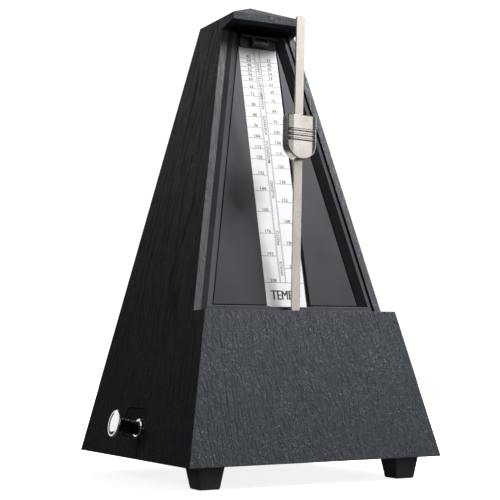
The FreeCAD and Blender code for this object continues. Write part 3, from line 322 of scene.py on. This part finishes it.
def turned_mesh(name, profile, centre, axis, mat, steps=72):
    """A turned piece: (radius, height) pairs in metres, swept about an axis."""
    axis = axis.normalized()
    side = axis.orthogonal().normalized()
    other = axis.cross(side)
    vertices, faces = [], []
    for k in range(steps):
        angle = 2 * math.pi * k / steps
        ray = side * math.cos(angle) + other * math.sin(angle)
        vertices.extend(centre + axis * height + ray * radius for radius, height in profile)
    count = len(profile)
    for k in range(steps):
        after = (k + 1) % steps
        for i in range(count - 1):
            faces.append([k * count + i, after * count + i, after * count + i + 1, k * count + i + 1])
    item = mesh_object(name, vertices, faces, mat, smooth=True)
    shape = bmesh.new()
    shape.from_mesh(item.data)
    bmesh.ops.remove_doubles(shape, verts=shape.verts, dist=1e-6)
    bmesh.ops.recalc_face_normals(shape, faces=shape.faces)
    shape.to_mesh(item.data)
    shape.free()
    item.data.set_sharp_from_angle(angle=math.radians(40))
    return item


# ------------------------------------------------------------------ selector's cap: domed, rolled rim

push = next(j for j in frame["joints"] if j["name"] == "selector_push")
stem = -Vector(push["axis"])
cap_points = [v.co for v in NODES["selector_cap"].data.vertices]
cap_middle = sum(cap_points, Vector()) / len(cap_points)
cap_back = min((p - cap_middle).dot(stem) for p in cap_points)
cap_depth = max((p - cap_middle).dot(stem) for p in cap_points) - cap_back
cap_radius = max(((p - cap_middle) - stem * (p - cap_middle).dot(stem)).length for p in cap_points)
CAP_PROFILE = ((0.0, 0.0), (0.80, 0.0), (0.93, 0.06), (0.985, 0.22), (1.0, 0.42), (0.985, 0.60), (0.95, 0.72),
               (0.90, 0.765), (0.86, 0.755), (0.835, 0.73), (0.81, 0.745), (0.72, 0.84), (0.58, 0.93),
               (0.42, 0.985), (0.22, 1.015), (0.0, 1.02))
cap = turned_mesh("selector_cap_dome", [(r * cap_radius, h * cap_depth) for r, h in CAP_PROFILE],
                  cap_middle + stem * cap_back, stem, MATERIALS["chrome_trim"])
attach(cap, "selector")
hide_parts("selector_cap")

# ------------------------------------------------------------------ bob: crowned front, bevels, ribs

slide = next(j for j in frame["joints"] if j["name"] == "bob_slide")
swing = next(j for j in frame["joints"] if j["name"] == "pendulum_swing")
ALONG = Vector(slide["axis"])
PIVOT = Vector(swing["pos_m"])
ACROSS = Vector((ALONG.z, 0, -ALONG.x))
bob_local = [(v.co - PIVOT) for v in NODES["bob"].data.vertices]
bob_half = max(p.dot(ACROSS) for p in bob_local)
bob_top = max(p.dot(ALONG) for p in bob_local)
bob_low = min(p.dot(ALONG) for p in bob_local)
bob_back = max(p.y for p in bob_local)
BOB_HEIGHT = bob_top - bob_low
BOB_FRONT = -4.2 * MM
BEVEL_WIDTH, BEVEL_DEPTH = 2.5 * MM, 1.0 * MM
EDGE_WIDTH, EDGE_DEPTH = 0.5 * MM, 0.25 * MM
CROWN_DEPTH, CROWN_PLACE = 0.64 * MM, 0.62
RIBS = (6.6 * MM, 8.6 * MM, 10.6 * MM)  # below the bob's top
RIB_HALF, RIB_LIFT = 0.62 * MM, 0.34 * MM
ROD_SLOT = (2.15 * MM, -0.62 * MM)  # half width and front of the way for the rod
HOLLOW = (4.6 * MM, -2.8 * MM)  # the same for the hollow behind the front
HOLLOW_SPAN = (2.0 * MM, 14.0 * MM)
SHELF = 0.001 * MM  # thickness of the step at each end of the hollow
TOP_EDGE, TOP_ROUND = 0.25 * MM, 0.22 * MM
COLUMNS = 44


def bob_half_width(height):
    """Half of the outline's width at a height above the bob's lowest point."""
    radius = bob_half
    if height >= radius:
        return bob_half
    return math.sqrt(max(radius ** 2 - (radius - height) ** 2, 1e-10))


def bob_face(x, height):
    """Depth of the front face behind its crown."""
    half = bob_half_width(height)
    edge = half - abs(x)
    if height < bob_half:
        edge = min(edge, bob_half - math.hypot(x, bob_half - height))
    # the wide bevels run straight down, the soft edge follows the outline
    step = max(0.0, (BEVEL_WIDTH - bob_half + abs(x)) / BEVEL_WIDTH)
    drop = BEVEL_DEPTH * step + EDGE_DEPTH * max(0.0, (EDGE_WIDTH - edge) / EDGE_WIDTH) ** 2
    crown = CROWN_DEPTH * (height / BOB_HEIGHT - CROWN_PLACE) ** 2
    lift = 0.0
    for below_top in RIBS:
        away = abs(BOB_HEIGHT - height - below_top) / RIB_HALF
        if away < 1:
            fade = min(1.0, max(0.0, (edge - 0.35 * MM) / EDGE_WIDTH))
            lift = RIB_LIFT * math.sqrt(1 - away * away) * fade
    return drop + crown - lift


# slices from the lowest point up: fine at the rounding, over the ribs and at the hollow's ends
levels = [0.004 * MM, 0.05 * MM, 0.15 * MM, 0.3 * MM]
levels += [0.5 * MM + i * 0.25 * MM for i in range(int((BOB_HEIGHT - 0.5 * MM) / (0.25 * MM)))]
for below_top in RIBS:
    levels += [BOB_HEIGHT - below_top + k * 0.062 * MM for k in range(-11, 12)]
for end in HOLLOW_SPAN:
    levels += [BOB_HEIGHT - end, BOB_HEIGHT - end + SHELF]
levels = sorted({round(level, 8) for level in levels if level <= BOB_HEIGHT - 0.3 * MM})
levels += [BOB_HEIGHT - TOP_EDGE, BOB_HEIGHT - 0.1 * MM, BOB_HEIGHT]
bob_vertices, loops = [], []
for level in levels:
    half = bob_half_width(level)
    near_top = BOB_HEIGHT - level
    round_over = TOP_ROUND * max(0.0, 1 - near_top / TOP_EDGE) ** 2
    half -= round_over
    hollow = HOLLOW_SPAN[0] - SHELF / 2 < near_top < HOLLOW_SPAN[1] - SHELF / 2
    slot_half, slot_front = HOLLOW if hollow else ROD_SLOT
    slot_half = min(slot_half, half * 0.9)
    loop = []
    for i in range(COLUMNS + 1):
        x = -half + 2 * half * i / COLUMNS
        loop.append((x, BOB_FRONT + bob_face(x, level) + round_over))
    loop += [(half, bob_back), (slot_half, bob_back), (slot_half, slot_front), (-slot_half, slot_front),
             (-slot_half, bob_back), (-half, bob_back)]
    start = len(bob_vertices)
    origin = Vector((PIVOT.x, 0, PIVOT.z)) + ALONG * (bob_low + level)
    bob_vertices.extend(origin + ACROSS * x + Vector((0, PIVOT.y + y, 0)) for x, y in loop)
    loops.append(range(start, start + len(loop)))
bob_faces = []
for lower, upper in zip(loops, loops[1:]):
    count = len(lower)
    bob_faces.extend([lower[i], lower[(i + 1) % count], upper[(i + 1) % count], upper[i]] for i in range(count))
bob_faces.append(list(reversed(loops[0])))
bob_faces.append(list(loops[-1]))
bob = mesh_object("bob_shell", bob_vertices, bob_faces, MATERIALS["bob_nickel"], smooth=True)
shape = bmesh.new()
shape.from_mesh(bob.data)
bmesh.ops.recalc_face_normals(shape, faces=shape.faces)
shape.to_mesh(bob.data)
shape.free()
bob.data.set_sharp_from_angle(angle=math.radians(24))
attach(bob, "bob")
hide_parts("bob")

# ------------------------------------------------------------------ scale plate printing

SLOPE = math.atan(CASE["lean"])
UP_SLOPE = Vector((0, math.sin(SLOPE), math.cos(SLOPE)))
OUT = Vector((0, -math.cos(SLOPE), math.sin(SLOPE)))
LEDGE_RISE = 62.6
DOOR_DEPTH = 10.96
PANEL_DEPTH = -CASE["half"] + CASE["lean"] * LEDGE_RISE + DOOR_DEPTH
PANEL_ORIGIN = Vector((0, PANEL_DEPTH, CASE["foot"] + LEDGE_RISE)) * MM
plate = NODES["scale_plate"]
plate_out = max((v.co - PANEL_ORIGIN).dot(OUT) for v in plate.data.vertices)
plate_low = min((v.co - PANEL_ORIGIN).dot(UP_SLOPE) for v in plate.data.vertices)
plate_high = max((v.co - PANEL_ORIGIN).dot(UP_SLOPE) for v in plate.data.vertices)
plate_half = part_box("scale_plate")[1].x
INK_LIFT = 0.02 * MM


def on_plate(x, u):
    """A point of the printing: x to the right and u up the slope from the ledge, in metres."""
    return PANEL_ORIGIN + Vector((x, 0, 0)) + UP_SLOPE * u + OUT * (plate_out + INK_LIFT)


GRAVITY = 9810.0
PIVOT_RISE = 56.93
INERTIA = 9038.15  # of the rod and its counterweight, per unit of the bob's mass
COUNTER_MOMENT = 132.58  # pull of the counterweight, per unit of the bob's mass


def tempo_rise(beats):
    """Height in mm of a tempo mark above the case's lower edge, from the pendulum's own law."""
    w = (math.pi * beats / 60) ** 2
    root = math.sqrt(GRAVITY * GRAVITY - 4 * w * (w * INERTIA - GRAVITY * COUNTER_MOMENT))
    return PIVOT_RISE + (root - GRAVITY) / (2 * w)


def slope_of(rise):
    """Distance up the slope at which the printed face stands at that height."""
    return ((rise - LEDGE_RISE) * MM - plate_out * math.sin(SLOPE)) / math.cos(SLOPE)


ink_vertices, ink_faces = [], []


def ink_bar(x0, u0, x1, u1):
    start = len(ink_vertices)
    ink_vertices.extend(on_plate(x, u) for x, u in ((x0, u0), (x1, u0), (x1, u1), (x0, u1)))
    ink_faces.append([start, start + 1, start + 2, start + 3])


def ink_text(text, x, u, height, turned=False, width=None, bold=0.0):
    """Lettering from the built-in face, set around a point of the plate."""
    curve = bpy.data.curves.new("letters", "FONT")
    curve.body = text
    curve.size = 1.0
    curve.offset = bold
    curve.resolution_u = 3
    item = bpy.data.objects.new("letters", curve)
    bpy.context.scene.collection.objects.link(item)
    bpy.context.view_layer.update()
    shape = item.evaluated_get(bpy.context.evaluated_depsgraph_get()).to_mesh()
    points = [v.co.copy() for v in shape.vertices]
    polygons = [list(p.vertices) for p in shape.polygons]
    bpy.data.objects.remove(item)
    bpy.data.curves.remove(curve)
    lo_x, hi_x = min(p.x for p in points), max(p.x for p in points)
    lo_y, hi_y = min(p.y for p in points), max(p.y for p in points)
    scale_y = height / (hi_y - lo_y)
    scale_x = width / (hi_x - lo_x) if width else scale_y * 1.06
    start = len(ink_vertices)
    for p in points:
        a = (p.x - (lo_x + hi_x) / 2) * scale_x
        b = (p.y - (lo_y + hi_y) / 2) * scale_y
        ink_vertices.append(on_plate(x - b, u + a) if turned else on_plate(x + a, u + b))
    ink_faces.extend([start + i for i in face] for face in polygons)


LEFT_COLUMN = (40, 44, 48, 52, 56, 60, 66, 72, 80, 88, 96, 104, 112, 120, 132, 144, 160, 176, 192)
RIGHT_COLUMN = (42, 46, 50, 54, 58, 63, 69, 76, 84, 92, 100, 108, 116, 126, 138, 152, 168, 184, 200)
TEMPO_WORDS = (("LARGO", 40, 56), ("LARGHETTO", 60, 69), ("ADAGIO", 72, 80), ("ANDANTE", 84, 104),
               ("MODERATO", 106, 122), ("ALLEGRO", 126, 160), ("PRESTO", 168, 190), ("VIVACE", 192, 208))
LINE = 0.17 * MM
DIGITS = {"height": 1.5 * MM, "bold": 0.016}
for beats in LEFT_COLUMN:
    u = slope_of(tempo_rise(beats))
    ink_bar(-9.6 * MM, u - LINE, -2.5 * MM, u)
    ink_text(str(beats), -5.2 * MM, u + 0.95 * MM, **DIGITS)
for beats in RIGHT_COLUMN:
    u = slope_of(tempo_rise(beats))
    ink_bar(1.1 * MM, u - LINE, 9.6 * MM, u)
    ink_text(str(beats), 5.2 * MM, u + 0.95 * MM, **DIGITS)
foot_line = slope_of(tempo_rise(208)) - 0.6 * MM
ink_bar(-9.6 * MM, foot_line - LINE, 9.6 * MM, foot_line)
ink_text("208", -5.2 * MM, foot_line + 0.95 * MM, **DIGITS)
for x in (-2.2, -1.75, 0.55, 0.95):
    ink_bar((x - 0.07) * MM, foot_line, (x + 0.07) * MM, plate_high - 1.2 * MM)
for word, low, high in TEMPO_WORDS:
    middle = (slope_of(tempo_rise(low)) + slope_of(tempo_rise(high))) / 2
    ink_text(word, -0.6 * MM, middle, 1.35 * MM, turned=True, bold=0.012)
for strike in (-0.16 * MM, 0, 0.16 * MM):
    ink_text("TEMPO", strike, (plate_low + foot_line) / 2 + 0.1 * MM, 4.2 * MM, width=14.2 * MM)
printing = mesh_object("scale_print", ink_vertices, ink_faces, printing_ink())
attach(printing, "case")

# ------------------------------------------------------------------ stage, light and camera

STAGE = 6.0
floor_mat, nt, shader = material("pale_floor", rough=0.9, colour=(0.9, 0.9, 0.9), Specular_IOR_Level=0.0)
cloud = noise(nt, object_mm(nt), scale=0.004, detail=2.0)
nt.links.new(blend(nt, cloud, (0.93, 0.93, 0.93), (0.96, 0.96, 0.96)), shader.inputs["Base Color"])
shader.inputs["Emission Color"].default_value = (1, 1, 1, 1)
far = add(nt, "ShaderNodeVectorMath", {"operation": "LENGTH"}, i0=object_mm(nt)).outputs["Value"]
nt.links.new(span(nt, far, 150.0, 650.0, 0.86, 1.02, smooth=True), shader.inputs["Emission Strength"])
floor = mesh_object("floor", [(-STAGE, -STAGE, 0), (STAGE, -STAGE, 0), (STAGE, STAGE, 0), (-STAGE, STAGE, 0)],
                    [[0, 1, 2, 3]], floor_mat)
floor.visible_diffuse = False
floor.visible_glossy = False

world = bpy.data.worlds.new("studio")
bpy.context.scene.world = world
world.use_nodes = True
nt = world.node_tree
background = nt.nodes["Background"]
seen = add(nt, "ShaderNodeLightPath").outputs["Is Camera Ray"]
nt.links.new(span(nt, seen, 0.0, 1.0, 0.04, 1.1), background.inputs["Strength"])
background.inputs["Color"].default_value = (1, 1, 1, 1)


def softbox(name, place, aim, width, height, power):
    lamp = bpy.data.lights.new(name, "AREA")
    lamp.shape = "RECTANGLE"
    lamp.size = width
    lamp.size_y = height
    lamp.energy = power
    item = bpy.data.objects.new(name, lamp)
    item.location = place
    item.rotation_euler = (Vector(aim) - Vector(place)).to_track_quat("-Z", "Y").to_euler()
    item.visible_camera = False
    bpy.context.scene.collection.objects.link(item)
    return item


MIDDLE = (0, 0, 0.11)
softbox("window", (0.75, -1.23, 0.81), MIDDLE, 1.5, 1.1, 4.6)
key = softbox("key", (0.80, -0.60, 1.15), MIDDLE, 0.5, 0.5, 30.0)
softbox("side", (1.45, 0.45, 0.45), MIDDLE, 1.1, 0.9, 2.6)
softbox("back", (0.05, 1.5, 0.8), MIDDLE, 0.8, 0.5, 1.1)
softbox("left", (-1.15, 0.30, 0.85), (0, 0, 0.15), 0.9, 0.9, 2.6)
softbox("rear", (0.8, 1.3, 0.7), MIDDLE, 1.2, 1.2, 7.0)
softbox("low_fill", (0.35, -1.15, 0.10), (0, 0, 0.02), 0.9, 0.18, 0.5)

def gathered(name, items):
    """A collection that a light is linked to."""
    group = bpy.data.collections.new(name)
    bpy.context.scene.collection.children.link(group)
    for item in items:
        group.objects.link(item)
    return group


# cards that only the polished parts pick up
polished = gathered("polished", (cap, bob, NODES["selector_bezel"], NODES["selector_rod"]))
for card in (
    softbox("card_back", (-0.62, 0.85, 0.42), (-0.06, 0, 0.022), 0.8, 0.9, 2.2),
    softbox("card_front", (-0.30, -1.20, 0.30), MIDDLE, 0.5, 0.5, 0.42),
    softbox("card_right", (0.62, -1.20, 0.27), MIDDLE, 0.55, 0.55, 0.34),
):
    card.light_linking.receiver_collection = polished
# one that shows the slopes of the left rail
rail_card = softbox("card_rail", (1.5, -0.28, 0.22), (0, -0.03, 0.13), 0.6, 0.9, 5.6)
rail_card.light_linking.receiver_collection = gathered("railing", (NODES["scale_panel"],))
# the bright key would burn out the bob's ribs
shaded = gathered("shaded_from_key", (bob,))
shaded.collection_objects[0].light_linking.link_state = "EXCLUDE"
key.light_linking.receiver_collection = shaded

EYE = (-0.27103, -0.50912, 0.05314)
LENS = 91.04
YAW, PITCH, ROLL = (math.radians(a) for a in (27.945, 4.791, -0.337))
forward = Vector((math.sin(YAW) * math.cos(PITCH), math.cos(YAW) * math.cos(PITCH), math.sin(PITCH)))
level = Vector((math.cos(YAW), -math.sin(YAW), 0))
upward = level.cross(forward)
right = level * math.cos(ROLL) + upward * math.sin(ROLL)
up = upward * math.cos(ROLL) - level * math.sin(ROLL)
lens = bpy.data.cameras.new("camera")
lens.lens = LENS
lens.sensor_width = 36.0
lens.clip_start = 0.01
camera = bpy.data.objects.new("camera", lens)
turn = Matrix((right, up, -forward)).transposed().to_4x4()
camera.matrix_world = Matrix.Translation(EYE) @ turn
bpy.context.scene.collection.objects.link(camera)
bpy.context.scene.camera = camera
bpy.context.scene.view_settings.view_transform = "Standard"

bpy.context.view_layer.update()
